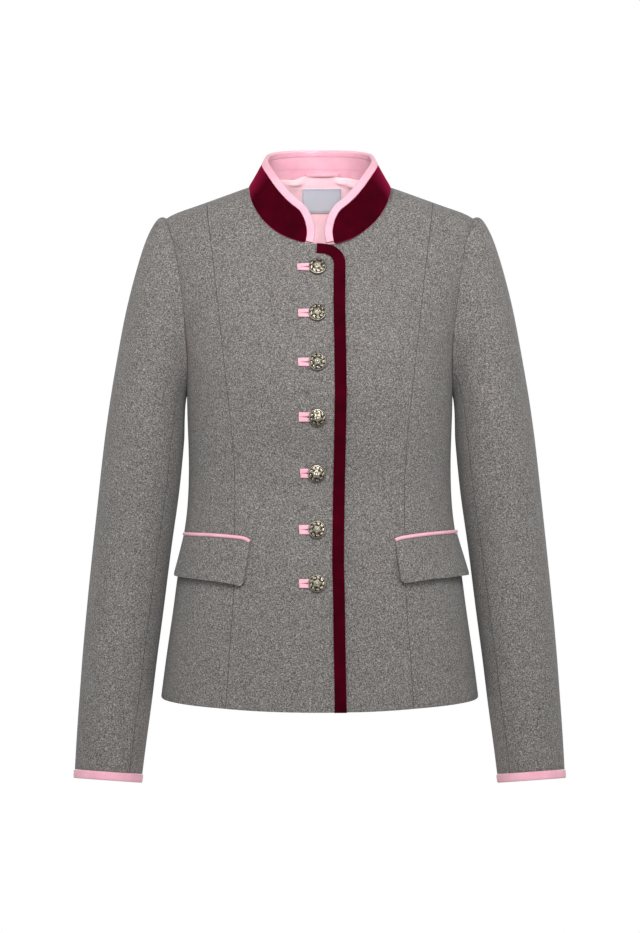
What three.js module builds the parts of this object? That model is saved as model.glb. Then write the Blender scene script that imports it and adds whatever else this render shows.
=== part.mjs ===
// Short fitted jacket in wool cloth with a stand collar, filled out as when worn.
// Millimetres, +Z up, the front faces -Y. The origin is the middle of the neck at the height
// of the shoulder-neck points. +X is the wearer's left; the right front laps over the left.
import * as THREE from "three";

// Driving dimensions
const WALL = 2.2;                 // interlined wool cloth
const SEAM_GAP = 0.3;             // between two sewn pieces
const ROUND = 2.2;                // superellipse exponent of the body's level sections
const NECK_HALF = 80;             // half-width of the neckline at the shoulder-neck points
const NECK_FRONT_DROP = 70;
const NECK_BACK_RISE = 17;
const SHOULDER_TIP = { x: 176, z: -36 };
const SHOULDER_SEAM = 129;        // where the front princess seam meets the shoulder, from the middle
const BACK_SHOULDER_SEAM = 124;
const UNDERARM = -236;
const ARMHOLE = { front: 44, back: 47 };
const HEM = { side: -585.4, frontDip: 9.8 };
const OVERLAP = { reach: 29, corner: 19.5, start: 0.5, slope: 0.13, sink: 0, from: 1, to: 0 };
const UNDERLAP = { reach: 25, corner: 4, start: 2.5, slope: 0.25, sink: 2.7, from: 50, to: 33 };
const BAND = { width: 14, topWidth: 11.8, thick: 1.6, proud: 0.6, start: -3.5 };
const COLLAR = { layer: 1.7, end: 3, cornerFrom: 38, cornerRound: 2.5, lift: 0.45, flare: 2, innerFoot: 0.03 };
const COLLAR_BINDING = { width: 8.8, backWidth: 7, half: 2.3, clear: 0.15 };
const CUFF_BINDING = { height: 9.5, proud: 1.1 };
const BUTTON = { radius: 10, rise: 6.2, shank: 1.6 };

// The buttons: height, place across, how far each buttonhole stands off the middle line of the
// face, where its far end lies and how high that end is
const BUTTON_PLACES = [
  { z: -97.5, x: -2.5, stand: 0.7, from: -25.4, end: 8.2 },
  { z: -150.1, x: -2.8, stand: 0.7, from: -24.3, end: 9.6 },
  { z: -205.2, x: -2.5, stand: 0.5, from: -24.3, end: 9.4 },
  { z: -266.2, x: -2.4, stand: 0.7, from: -23.2, end: 10.8 },
  { z: -328.9, x: -3.6, stand: 0.8, from: -22, end: 10.8 },
  { z: -392.1, x: -3, stand: 0.6, from: -23.2, end: 10.8 },
  { z: -452, x: -3, stand: 0.7, from: -23.2, end: 10 },
];
const HOLE = { to: 1.5, height: 10.8, thick: 1.1, slit: 0.9 };
// Flaps: inner end from the middle, turn of the outer end, heights of the two ends of the top edge,
// drops below them, turns by which the ends lean out, lift of the lower edge, dip of the inner end
const FLAPS = {
  left: {
    inner: 83.8, outer: 79.6, innerTop: -402.6, outerTop: -396, drop: 50.1, outerDrop: 50.2,
    innerLean: 0.5, outerLean: 8, lift: 6.2, dip: 1.5,
  },
  right: {
    inner: 77.4, outer: 76.2, innerTop: -402.4, outerTop: -398.6, drop: 52.6, outerDrop: 48,
    innerLean: 1, outerLean: 2, lift: 5.2, dip: 3.2,
  },
};
const FLAP_CLOTH = { length: 105, wall: 2.6, corner: 5, topLift: 0.5, crown: 1.3, dipTo: 0.09 };
const PIPING = 2.1;
const LINING = { thick: 1, columnsLeft: 1, bottomRow: 15, rise: 1.2 };
const LABEL = { x: 2.5, half: 23.4, top: 4.9, bottom: -22, thick: 0.7, stand: 0.6 };
const LOOP = { x: 3.2, half: 21.6, top: 23, drop: 4.4, depth: 2.35, thick: 0.9, stand: 1.5 };

// Level sections of the body: height, half-width, depth to the front and to the back
const BODY = [
  { z: 48, half: 60, front: 14, back: 50 },
  { z: 30, half: 66, front: 20, back: 56 },
  { z: 17, half: 72, front: 27, back: 61 },
  { z: 8, half: 76.5, front: 32, back: 65 },
  { z: 0, half: 80, front: 36, back: 68 },
  { z: -3.5, half: 90.5, front: 38, back: 70 },
  { z: -10, half: 108.5, front: 41, back: 73 },
  { z: -17, half: 128, front: 45, back: 76 },
  { z: -24, half: 147.5, front: 48, back: 79 },
  { z: -31, half: 166.5, front: 51, back: 82 },
  { z: -36, half: 176, front: 53, back: 84 },
  { z: -50, half: 183, front: 59, back: 89 },
  { z: -69, half: 184.5, front: 67, back: 95 },
  { z: -96, half: 181, front: 80, back: 101 },
  { z: -120, half: 175, front: 90, back: 106 },
  { z: -145, half: 168.6, front: 99, back: 108 },
  { z: -172, half: 161, front: 107, back: 109 },
  { z: -210, half: 154.5, front: 115, back: 107 },
  { z: -236, half: 152.8, front: 117, back: 104 },
  { z: -270, half: 152, front: 112, back: 98 },
  { z: -310, half: 150.7, front: 102, back: 89 },
  { z: -345, half: 150.9, front: 97, back: 86 },
  { z: -376, half: 153, front: 99, back: 90 },
  { z: -392, half: 155.3, front: 101, back: 93 },
  { z: -440, half: 162.5, front: 106, back: 102 },
  { z: -489, half: 169, front: 111, back: 111 },
  { z: -537, half: 176, front: 115, back: 117 },
  { z: -585, half: 182.3, front: 118, back: 121 },
  { z: -610, half: 185, front: 119, back: 122 },
];

// Distance of the princess seams from the middle
const SEAMS = [
  { z: 20, front: 131, back: 125 },
  { z: -20, front: 128.5, back: 123 },
  { z: -70, front: 122.5, back: 114 },
  { z: -110, front: 117.5, back: 107 },
  { z: -150, front: 113, back: 101 },
  { z: -185, front: 109, back: 95 },
  { z: -245, front: 102.5, back: 86 },
  { z: -300, front: 97, back: 77 },
  { z: -345, front: 95, back: 73 },
  { z: -400, front: 95, back: 76 },
  { z: -458, front: 96, back: 83 },
  { z: -500, front: 98, back: 88 },
  { z: -530, front: 101, back: 92 },
  { z: -560, front: 102.5, back: 95 },
  { z: -600, front: 105.5, back: 98 },
];

// Full-height stand of the collar: angle round the neck from centre front, place of its upper edge
const COLLAR_TOP = [
  { turn: -30, x: -20, y: -55.5, z: -22 },
  { turn: 0, x: 0, y: -57, z: -29 },
  { turn: 30, x: 20, y: -55.5, z: -22 },
  { turn: 55, x: 36, y: -49, z: -7.5 },
  { turn: 70, x: 47, y: -36, z: 8 },
  { turn: 90, x: 60.5, y: -4, z: 30.5 },
  { turn: 120, x: 57, y: 24, z: 40.6 },
  { turn: 150, x: 36, y: 43, z: 46 },
  { turn: 180, x: 0, y: 51, z: 47.5 },
  { turn: 210, x: -36, y: 43, z: 46 },
];

// Sleeve rings: outer point, inner point, middle of the depth, half depth to front and back,
// how far the ring still follows the armhole's own line, and its rise to the front
const SLEEVE = [
  { outX: 181, outZ: -34.8, inX: 152.8, inZ: -240, mid: 0, front: 46, back: 49, follow: 0.85, tilt: 0 },
  { outX: 187, outZ: -38.3, inX: 153.6, inZ: -244, mid: 0, front: 47.5, back: 51, follow: 0.6, tilt: 0 },
  { outX: 194.6, outZ: -50.5, inX: 154.2, inZ: -249, mid: 0, front: 49, back: 52.5, follow: 0.4, tilt: 0 },
  { outX: 201.2, outZ: -66, inX: 154.7, inZ: -254, mid: 0, front: 50.5, back: 54, follow: 0.25, tilt: 0 },
  { outX: 208, outZ: -87, inX: 155, inZ: -260, mid: 0, front: 52, back: 55.5, follow: 0.15, tilt: 0 },
  { outX: 215.5, outZ: -114, inX: 155.2, inZ: -266, mid: 0, front: 53.5, back: 56.5, follow: 0.07, tilt: 0 },
  { outX: 223.5, outZ: -148, inX: 155.4, inZ: -273, mid: 0.5, front: 55, back: 57.5, follow: 0.03, tilt: 0 },
  { outX: 231, outZ: -188, inX: 155.5, inZ: -281, mid: 1, front: 56, back: 58, follow: 0, tilt: 0 },
  { outX: 239.5, outZ: -236, inX: 155.8, inZ: -290, mid: 1.5, front: 56.5, back: 58, follow: 0, tilt: 0 },
  { outX: 247.3, outZ: -290, inX: 157.2, inZ: -306, mid: 2, front: 56, back: 57, follow: 0, tilt: 0 },
  { outX: 253.5, outZ: -344, inX: 162, inZ: -353, mid: 4, front: 54, back: 55, follow: 0, tilt: 0 },
  { outX: 258.7, outZ: -392, inX: 168.8, inZ: -400, mid: 5, front: 52, back: 53, follow: 0, tilt: 0 },
  { outX: 263.6, outZ: -440, inX: 174.8, inZ: -447, mid: 3, front: 50.5, back: 51, follow: 0, tilt: 0.02 },
  { outX: 268.2, outZ: -489, inX: 180.8, inZ: -496, mid: 0, front: 49, back: 49, follow: 0, tilt: 0.05 },
  { outX: 272.2, outZ: -537, inX: 187, inZ: -543, mid: -4, front: 47.5, back: 47.5, follow: 0, tilt: 0.08 },
  { outX: 275.4, outZ: -585, inX: 192.5, inZ: -591, mid: -9, front: 46, back: 46, follow: 0, tilt: 0.1 },
  { outX: 278.1, outZ: -628.5, inX: 198.2, inZ: -634, mid: -14, front: 44.5, back: 44.5, follow: 0, tilt: 0.11 },
  { outX: 280, outZ: -667.8, inX: 203, inZ: -673.3, mid: -18.5, front: 43, back: 43, follow: 0, tilt: 0.11 },
];
const SLEEVE_SEAMS = { frontTop: 140, frontLow: 132, back: 240, ease: 0.3 };   // turns from the top

const CLOTH = { color: 0x85827e, roughness: 0.95 };
const VELVET = { color: 0x560820, roughness: 0.8 };
const PINK = { color: 0xf6b6cd, roughness: 0.85 };
const SATIN = { color: 0xfbcbd8, roughness: 0.4 };
const METAL = { color: 0xb5afa0, roughness: 0.35, metalness: 1 };
const LABEL_CLOTH = { color: 0xc5c8d0, roughness: 0.6 };

const jacket = new THREE.Group();
const DEGREE = Math.PI / 180;
const vec = (x, y, z) => new THREE.Vector3(x, y, z);
const lerp = (a, b, t) => a + (b - a) * t;
const clamp = (t, low, high) => Math.min(high, Math.max(low, t));
const smooth = (t) => t * t * (3 - 2 * t);
const steps = (count) => Array.from({ length: count + 1 }, (unused, i) => i / count);
const power = (value, exponent) => Math.sign(value) * Math.pow(Math.abs(value), exponent);

// Smooth curve through one column of a table, read at a place along its key column,
// with no overshoot between two rows
function read(table, key, column, at) {
  const rising = table[1][key] > table[0][key];
  const rows = rising ? table : [...table].reverse();
  const last = rows.length - 1;
  const place = clamp(at, rows[0][key], rows[last][key]);
  let i = 0;
  while (i < last - 1 && rows[i + 1][key] < place) i += 1;
  const slope = (k) => (rows[k + 1][column] - rows[k][column]) / (rows[k + 1][key] - rows[k][key]);
  const tangent = (k) => {
    if (k === 0) return slope(0);
    if (k === last) return slope(last - 1);
    const before = slope(k - 1);
    const after = slope(k);
    return before * after <= 0 ? 0 : (2 * before * after) / (before + after);
  };
  const width = rows[i + 1][key] - rows[i][key];
  const t = (place - rows[i][key]) / width;
  const start = rows[i][column];
  const end = rows[i + 1][column];
  return start * (1 + 2 * t) * (1 - t) ** 2 + end * t * t * (3 - 2 * t)
    + width * (tangent(i) * t * (1 - t) ** 2 - tangent(i + 1) * t * t * (1 - t));
}

// The body's outer surface. turn is 0 at centre front, 90 degrees at the wearer's left side
// and on the shoulder ridge, and 180 degrees at centre back; negative on the right.
function bodyPoint(turn, z) {
  const half = read(BODY, "z", "half", z);
  const depth = Math.abs(turn) < Math.PI / 2 ? -read(BODY, "z", "front", z) : read(BODY, "z", "back", z);
  const across = power(Math.sin(turn), 2 / ROUND);
  const forward = Math.pow(Math.abs(Math.cos(turn)), 2 / ROUND);
  return vec(half * across, depth * forward, z);
}

function bodyNormal(turn, z) {
  const around = bodyPoint(turn + 0.01, z).sub(bodyPoint(turn - 0.01, z));
  const up = bodyPoint(turn, z + 0.6).sub(bodyPoint(turn, z - 0.6));
  return around.cross(up).normalize();
}

function turnAt(x, z, behind = false) {
  const share = clamp(Math.abs(x) / read(BODY, "z", "half", z), 0, 1);
  const turn = Math.asin(Math.pow(share, ROUND / 2));
  return (x < 0 ? -1 : 1) * (behind ? Math.PI - turn : turn);
}

const onBody = (turn, z) => ({ point: bodyPoint(turn, z), normal: bodyNormal(turn, z) });

// Height of the shoulder ridge at a distance from the middle
function ridgeAt(x) {
  let low = SHOULDER_TIP.z;
  let high = 0;
  for (let i = 0; i < 40; i += 1) {
    const z = (low + high) / 2;
    if (read(BODY, "z", "half", z) > x) low = z;
    else high = z;
  }
  return (low + high) / 2;
}

const hemAt = (turn) => {
  const front = Math.max(0, Math.cos(turn));
  return HEM.side - HEM.frontDip * front * front;
};

// Closed wall from a grid of outer points. The first index runs round the body from the right
// to the left, the second one upwards. Each border is drawn in by half a seam gap.
function wall(grid, thickness, borders = SEAM_GAP / 2) {
  const columns = grid.length;
  const rows = grid[0].length;
  const draw = (i, j, toI, toJ) => {
    const step = grid[toI][toJ].point.clone().sub(grid[i][j].point);
    return step.lengthSq() > 0 ? step.setLength(borders) : step;
  };
  const outer = grid.map((column, i) => column.map((at, j) => {
    const point = at.point.clone();
    if (i === 0) point.add(draw(i, j, 1, j));
    if (i === columns - 1) point.add(draw(i, j, i - 1, j));
    if (j === 0) point.add(draw(i, j, i, 1));
    if (j === rows - 1) point.add(draw(i, j, i, j - 1));
    return point;
  }));
  const inner = grid.map((column, i) => column.map((at, j) => (
    outer[i][j].clone().addScaledVector(at.normal, -thickness)
  )));
  const faces = [];
  const quad = (a, b, c, d) => faces.push([a, b, c], [a, c, d]);
  for (let i = 0; i < columns - 1; i += 1) {
    for (let j = 0; j < rows - 1; j += 1) {
      quad(outer[i][j], outer[i + 1][j], outer[i + 1][j + 1], outer[i][j + 1]);
      quad(inner[i][j], inner[i][j + 1], inner[i + 1][j + 1], inner[i + 1][j]);
    }
    quad(inner[i][0], inner[i + 1][0], outer[i + 1][0], outer[i][0]);
    quad(outer[i][rows - 1], outer[i + 1][rows - 1], inner[i + 1][rows - 1], inner[i][rows - 1]);
  }
  for (let j = 0; j < rows - 1; j += 1) {
    const far = columns - 1;
    quad(outer[0][j], outer[0][j + 1], inner[0][j + 1], inner[0][j]);
    quad(outer[far][j + 1], outer[far][j], inner[far][j], inner[far][j + 1]);
  }
  return fromFaces(faces);
}

function fromFaces(faces) {
  const numbers = new Float32Array(faces.length * 9);
  faces.flat().forEach((corner, i) => corner.toArray(numbers, i * 3));
  const geometry = new THREE.BufferGeometry();
  geometry.setAttribute("position", new THREE.BufferAttribute(numbers, 3));
  return geometry;
}

// Closed band from rings of points that all have the same number of corners
function band(rings, closed) {
  const faces = [];
  const count = rings[0].length;
  const last = closed ? rings.length : rings.length - 1;
  for (let i = 0; i < last; i += 1) {
    const here = rings[i];
    const next = rings[(i + 1) % rings.length];
    for (let j = 0; j < count; j += 1) {
      const k = (j + 1) % count;
      faces.push([here[j], next[j], next[k]], [here[j], next[k], here[k]]);
    }
  }
  if (!closed) {
    const end = rings[rings.length - 1];
    for (let j = 1; j < count - 1; j += 1) {
      faces.push([rings[0][0], rings[0][j], rings[0][j + 1]], [end[0], end[j + 1], end[j]]);
    }
  }
  const volume = faces.reduce((sum, [a, b, c]) => sum + a.dot(b.clone().cross(c)), 0);
  return fromFaces(volume > 0 ? faces : faces.map(([a, b, c]) => [a, c, b]));
}

// The same grid on the other side of the body
const mirrored = (grid) => [...grid].reverse().map((column) => column.map(({ point, normal }) => ({
  point: vec(-point.x, point.y, point.z),
  normal: vec(-normal.x, normal.y, normal.z),
})));

function add(name, geometry, finish) {
  const mesh = new THREE.Mesh(geometry, new THREE.MeshStandardMaterial(finish));
  mesh.name = name;
  jacket.add(mesh);
}

// Turns round the neck, from centre front, where the panels and the collar have their columns
const NECK_TURNS = [4, 9, 14, 22, 31, 40, 52, 64, 77, 90, 112, 129, 146, 163, 180];

// Heights of a column of cloth from the hem to its top: level rows below the underarm,
// then rows that crowd at the underarm and at the top
const LOW_ROWS = 10;
const HIGH_ROWS = 9;
const heights = (hem, top) => [
  ...steps(LOW_ROWS).map((t) => lerp(hem, UNDERARM, t)),
  ...steps(HIGH_ROWS).slice(1).map((t) => lerp(UNDERARM, top, (1 - Math.cos(Math.PI * t)) / 2)),
];
const armholeTurns = steps(HIGH_ROWS).slice(1).map((t) => Math.PI * t);

// Panels -----------------------------------------------------------------------------------

// Height of a front's top edge at a distance past the middle: a slight slope, then a round corner
function lapTop(lap, past) {
  const into = Math.max(0, past - (lap.reach - lap.corner));
  const down = lap.corner - Math.sqrt(lap.corner ** 2 - Math.min(into, lap.corner) ** 2);
  return -NECK_FRONT_DROP - lap.start - lap.slope * past - down;
}

// Distance of a princess seam from the middle, drawn so that it meets the shoulder where it should
function seamAt(column, shoulder, z) {
  return read(SEAMS, "z", column, z) * shoulder / read(SEAMS, "z", column, ridgeAt(shoulder));
}

// Columns of cloth crowd at the neck and spread evenly below it
const SPREAD = 25;
const spread = (even, crowded, below) => lerp(even, crowded, Math.exp(-below / SPREAD));

// A front, drawn on the wearer's left: from its closing edge past the middle to the princess seam
function frontGrid(lap) {
  const columns = [0, 0.25, 0.5, 0.75, 1].map((t) => {
    const past = lap.reach - lap.corner * (1 - Math.cos(t * Math.PI / 2));
    return { x: -past, top: lapTop(lap, past) };
  });
  columns.push({ x: -5, top: lapTop(lap, 5) });
  for (const turn of NECK_TURNS.filter((angle) => angle < 90)) {
    const x = NECK_HALF * Math.sin(turn * DEGREE);
    columns.push({ x, top: -NECK_FRONT_DROP * Math.cos(turn * DEGREE) });
  }
  for (const t of steps(3)) {
    const x = lerp(NECK_HALF, SHOULDER_SEAM, t);
    columns.push({ x, top: ridgeAt(x) });
  }
  const lapColumns = columns.filter(({ x }) => x < 0).length;
  return columns.map(({ x, top }, i) => {
    const seam = (z) => seamAt("front", SHOULDER_SEAM, z);
    const even = lerp(0.05, 1, (i - lapColumns) / (columns.length - 1 - lapColumns));
    const acrossAt = (z) => (x < 0 ? x : seam(z) * spread(even, x / seam(top), top - z));
    const hem = hemAt(turnAt(acrossAt(HEM.side), HEM.side));
    return heights(hem, top).map((z) => {
      const across = acrossAt(z);
      const ridge = z === top && x >= NECK_HALF;
      const at = onBody(ridge ? Math.PI / 2 : turnAt(across, z), z);
      const under = smooth(clamp((lap.from - across) / (lap.from - lap.to), 0, 1));
      at.point.addScaledVector(at.normal, -lap.sink * under);
      return at;
    });
  });
}

// A side panel between a princess seam and the side seam with the armhole's edge above it
function sideGrid(behind) {
  const column = behind ? "back" : "front";
  const shoulder = behind ? BACK_SHOULDER_SEAM : SHOULDER_SEAM;
  const seamTop = ridgeAt(shoulder);
  const seamHem = hemAt(turnAt(seamAt(column, shoulder, HEM.side), HEM.side, behind));
  const seam = heights(seamHem, seamTop).map((z) => (
    { z, turn: z === seamTop ? Math.PI / 2 : turnAt(seamAt(column, shoulder, z), z, behind) }
  ));
  const edge = heights(HEM.side, SHOULDER_TIP.z).map((z, j) => {
    if (j <= LOW_ROWS) return { z, turn: Math.PI / 2 };
    const depth = ARMHOLE[column] * Math.sin(armholeTurns[j - LOW_ROWS - 1]);
    const share = clamp(depth / read(BODY, "z", column, z), 0, 1);
    const fromSide = Math.asin(Math.pow(share, ROUND / 2));
    return { z, turn: Math.PI / 2 + (behind ? fromSide : -fromSide) };
  });
  const sides = behind ? [edge, seam] : [seam, edge];
  return steps(5).map((t) => sides[0].map((from, j) => (
    onBody(lerp(from.turn, sides[1][j].turn, t), lerp(from.z, sides[1][j].z, t))
  )));
}

// A back panel from the princess seam to the centre-back seam
function backGrid() {
  const places = steps(2).map((t) => lerp(BACK_SHOULDER_SEAM, NECK_HALF, t));
  const columns = places.map((x) => ({ x, top: ridgeAt(x) }));
  for (const turn of NECK_TURNS.filter((angle) => angle > 90)) {
    const x = NECK_HALF * Math.sin(turn * DEGREE);
    columns.push({ x, top: NECK_BACK_RISE * Math.cos(turn * DEGREE) ** 2 });
  }
  return columns.map(({ x, top }, i) => {
    const seam = (z) => seamAt("back", BACK_SHOULDER_SEAM, z);
    const even = 1 - i / (columns.length - 1);
    return heights(HEM.side, top).map((z) => {
      const ridge = z === top && x >= NECK_HALF;
      const across = seam(z) * spread(even, x / seam(top), top - z);
      return onBody(ridge ? Math.PI / 2 : turnAt(across, z, true), z);
    });
  });
}

const sideFront = sideGrid(false);
const sideBack = sideGrid(true);
const back = backGrid();

add("front_right", wall(mirrored(frontGrid(OVERLAP)), WALL), CLOTH);
add("front_left", wall(frontGrid(UNDERLAP), WALL), CLOTH);
add("side_front_left", wall(sideFront, WALL), CLOTH);
add("side_front_right", wall(mirrored(sideFront), WALL), CLOTH);
add("side_back_left", wall(sideBack, WALL), CLOTH);
add("side_back_right", wall(mirrored(sideBack), WALL), CLOTH);
add("back_left", wall(back, WALL), CLOTH);
add("back_right", wall(mirrored(back), WALL), CLOTH);

// Sleeves ----------------------------------------------------------------------------------

// A place on the armhole's seam. turn is 0 at the shoulder, 90 degrees in front, 180 under the arm
function onArmhole(turn) {
  const middle = (SHOULDER_TIP.z + UNDERARM) / 2;
  const z = middle + (SHOULDER_TIP.z - middle) * Math.cos(turn);
  const across = Math.sin(turn);
  const column = across > 0 ? "front" : "back";
  const share = clamp(ARMHOLE[column] * Math.abs(across) / read(BODY, "z", column, z), 0, 1);
  const fromSide = Math.asin(Math.pow(share, ROUND / 2));
  return onBody(Math.PI / 2 + (across > 0 ? -fromSide : fromSide), z);
}

const armholePoint = (turn) => onArmhole(turn).point.addScaledVector(vec(1, 0, 0), SEAM_GAP);
const armholeNormal = (turn) => onArmhole(turn).normal;

function sleevePoint(row, turn) {
  const { outX, outZ, inX, inZ, mid, front, back: behind, follow, tilt } = row;
  const across = Math.sin(turn);
  const outward = (1 + Math.cos(turn)) / 2;
  const depth = across > 0 ? -front : behind;
  const forward = depth * Math.abs(across);
  const ring = vec(lerp(inX, outX, outward), mid + forward, lerp(inZ, outZ, outward) - tilt * forward);
  if (follow === 0) return ring;
  const under = armholePoint(Math.PI);
  const shiftX = lerp(inX - under.x, outX - SHOULDER_TIP.x, outward);
  const shiftZ = lerp(inZ - UNDERARM, outZ - SHOULDER_TIP.z, outward);
  return ring.lerp(armholePoint(turn).add(vec(shiftX, 0, shiftZ)), follow);
}

function sleeveGrid(startAt, endAt, count) {
  const rows = SLEEVE.length + 1;
  const turnOf = (t, k) => lerp(startAt(k / (rows - 1)), endAt(k / (rows - 1)), t) * DEGREE;
  const place = (turn, k) => (k === 0 ? armholePoint(turn) : sleevePoint(SLEEVE[k - 1], turn));
  return steps(count).map((t) => Array.from({ length: rows }, (unused, index) => {
    const k = rows - 1 - index;
    const turn = turnOf(t, k);
    const around = place(turn - 2 * DEGREE, k).sub(place(turn + 2 * DEGREE, k));
    const up = place(turn, Math.max(k - 1, 0)).sub(place(turn, Math.min(k + 1, rows - 1)));
    const normal = around.cross(up).normalize();
    // At the armhole the sleeve's edge lies flat against the body's, except under the arm
    if (k === 0) normal.lerp(armholeNormal(turn), smooth(clamp((0.5 + Math.cos(turn)) * 2, 0, 1))).normalize();
    return { point: place(turn, k), normal };
  }));
}

const frontSeam = (down) => lerp(SLEEVE_SEAMS.frontTop, SLEEVE_SEAMS.frontLow, down);
const backSeam = () => SLEEVE_SEAMS.back;
const topSleeve = sleeveGrid(frontSeam, () => backSeam() - 360, 13);
const underSleeve = sleeveGrid(backSeam, (down) => frontSeam(down) + SLEEVE_SEAMS.ease, 5);

add("top_sleeve_left", wall(topSleeve, WALL), CLOTH);
add("top_sleeve_right", wall(mirrored(topSleeve), WALL), CLOTH);
add("under_sleeve_left", wall(underSleeve, WALL), CLOTH);
add("under_sleeve_right", wall(mirrored(underSleeve), WALL), CLOTH);

// Cuff bindings: a ring below the cloth, as wide as the binding and a little proud on both faces
function cuffBinding(side) {
  const end = SLEEVE[SLEEVE.length - 1];
  const before = SLEEVE[SLEEVE.length - 2];
  const rings = steps(26).slice(1).map((t) => {
    const turn = t * 2 * Math.PI;
    const top = sleevePoint(end, turn);
    const down = top.clone().sub(sleevePoint(before, turn)).normalize();
    const around = sleevePoint(end, turn - 0.01).sub(sleevePoint(end, turn + 0.01));
    const out = around.cross(down).normalize().negate();
    const outSide = CUFF_BINDING.proud;
    const inSide = -WALL - CUFF_BINDING.proud;
    const low = SEAM_GAP + CUFF_BINDING.height;
    const round = 1.4;
    return [
      [outSide, SEAM_GAP], [outSide, low - round], [outSide - round, low],
      [inSide + round, low], [inSide, low - round], [inSide, SEAM_GAP],
    ].map(([across, along]) => {
      const point = top.clone().addScaledVector(out, across).addScaledVector(down, along);
      return vec(side * point.x, point.y, point.z);
    });
  });
  return band(rings, true);
}

add("cuff_binding_left", cuffBinding(1), PINK);
add("cuff_binding_right", cuffBinding(-1), PINK);

// Collar -----------------------------------------------------------------------------------

function neckline(turn) {
  const x = NECK_HALF * Math.sin(turn * DEGREE);
  const forward = Math.cos(turn * DEGREE);
  const z = forward > 0 ? -NECK_FRONT_DROP * forward : NECK_BACK_RISE * forward ** 2;
  return bodyPoint(turnAt(x, z, forward < 0), z);
}

function collarTop(turn) {
  const column = (name) => read(COLLAR_TOP, "turn", name, turn);
  return vec(column("x"), column("y"), column("z"));
}

// Middle surface of the collar: turn round the neck in degrees, share of the full height
function collarPoint(turn, share) {
  const base = neckline(turn);
  const top = collarTop(turn);
  const height = base.distanceTo(top);
  return base.lerp(top, COLLAR.lift / height + share * (1 - COLLAR.lift / height));
}

function collarNormal(turn, share) {
  const around = collarPoint(turn + 1, share).sub(collarPoint(turn - 1, share));
  const up = collarPoint(turn, share + 0.02).sub(collarPoint(turn, share - 0.02));
  return around.cross(up).normalize();
}

// The collar's edge from the foot of its front end, round the curved corner, to centre back
const CORNER_SHARE = 0.3;
function collarEdge(t) {
  const sweep = clamp(t / CORNER_SHARE, 0, 1) * Math.PI / 2;
  const past = Math.max(0, (t - CORNER_SHARE) / (1 - CORNER_SHARE));
  const bend = Math.pow(Math.cos(sweep), 2 / COLLAR.cornerRound);
  const turn = past > 0
    ? lerp(COLLAR.cornerFrom, 180, past)
    : COLLAR.cornerFrom - (COLLAR.cornerFrom - COLLAR.end) * bend;
  const share = past > 0 ? 1 : Math.pow(Math.sin(sweep), 2 / COLLAR.cornerRound);
  return { turn: turn + COLLAR.flare * Math.pow(1 - share, 3), share };
}

// Place on the collar at a distance inside its edge
function insideEdge(t, distance) {
  const at = (s) => {
    const { turn, share } = collarEdge(clamp(s, 0, 2));
    return collarPoint(turn, share);
  };
  const { turn, share } = collarEdge(t);
  const normal = collarNormal(turn, clamp(share, 0.05, 0.95));
  const start = Math.max(0, t - 0.01);
  const along = t >= 1 ? vec(-1, 0, 0) : at(Math.min(1, t + 0.01)).sub(at(start));
  const inward = normal.clone().cross(along).normalize().negate();
  return { point: at(t).addScaledVector(inward, distance), normal, inward };
}

// Place on the collar's edge at a turn round the neck, once past the corner
const pastCorner = (turn) => lerp(CORNER_SHARE, 1, (turn - COLLAR.cornerFrom) / (180 - COLLAR.cornerFrom));

// Places along the edge: up the front end, round the corner and past it
const FRONT_PLACES = [0, 0.04, 0.08, 0.12];
const CORNER_PLACES = [0.16, 0.2, 0.25, CORNER_SHARE];
const EDGE_PLACES = [...FRONT_PLACES, ...CORNER_PLACES, ...NECK_TURNS.slice(6).map(pastCorner)];

// The binding narrows a little from the corner to the back
const bindingWidth = (t) => (
  lerp(COLLAR_BINDING.width, COLLAR_BINDING.backWidth, smooth(clamp((t - CORNER_SHARE) / (1 - CORNER_SHARE), 0, 1)))
);

// Half of a collar layer's middle surface, from its front end to centre back. Its foot has its
// columns where the panels have theirs.
function collarHalf(foot) {
  const margin = (t) => bindingWidth(t) + SEAM_GAP + COLLAR_BINDING.clear;
  const rows = steps(3);
  const front = FRONT_PLACES.map((t) => insideEdge(t, margin(t)).point);
  const corner = CORNER_PLACES.map((t, i) => [NECK_TURNS[i + 2], t]);
  const rest = NECK_TURNS.slice(6).map((turn) => [turn, pastCorner(turn)]);
  return [front, ...[...corner, ...rest].map(([turn, t]) => {
    const top = insideEdge(t, margin(t)).point;
    const low = foot * smooth(clamp((77 - turn) / 25, 0, 1));
    return rows.map((row) => collarPoint(turn, low).lerp(top, row));
  })];
}

function collarLayer(offset, foot) {
  const half = collarHalf(foot);
  const other = [...half].reverse().slice(1).map((column) => column.map((p) => vec(-p.x, p.y, p.z)));
  const points = [...half, ...other];
  const last = points.length - 1;
  const rows = points[0].length - 1;
  return points.map((column, i) => column.map((point, j) => {
    const around = points[Math.min(i + 1, last)][j].clone().sub(points[Math.max(i - 1, 0)][j]);
    const up = points[i][Math.min(j + 1, rows)].clone().sub(points[i][Math.max(j - 1, 0)]);
    const normal = around.cross(up).normalize();
    return { point: point.clone().addScaledVector(normal, offset), normal };
  }));
}

const layerGap = SEAM_GAP / 2;
add("collar_velvet", wall(collarLayer(layerGap + COLLAR.layer, 0), COLLAR.layer, 0), VELVET);
add("collar_inner", wall(collarLayer(-layerGap, COLLAR.innerFoot), COLLAR.layer, 0), PINK);

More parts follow.
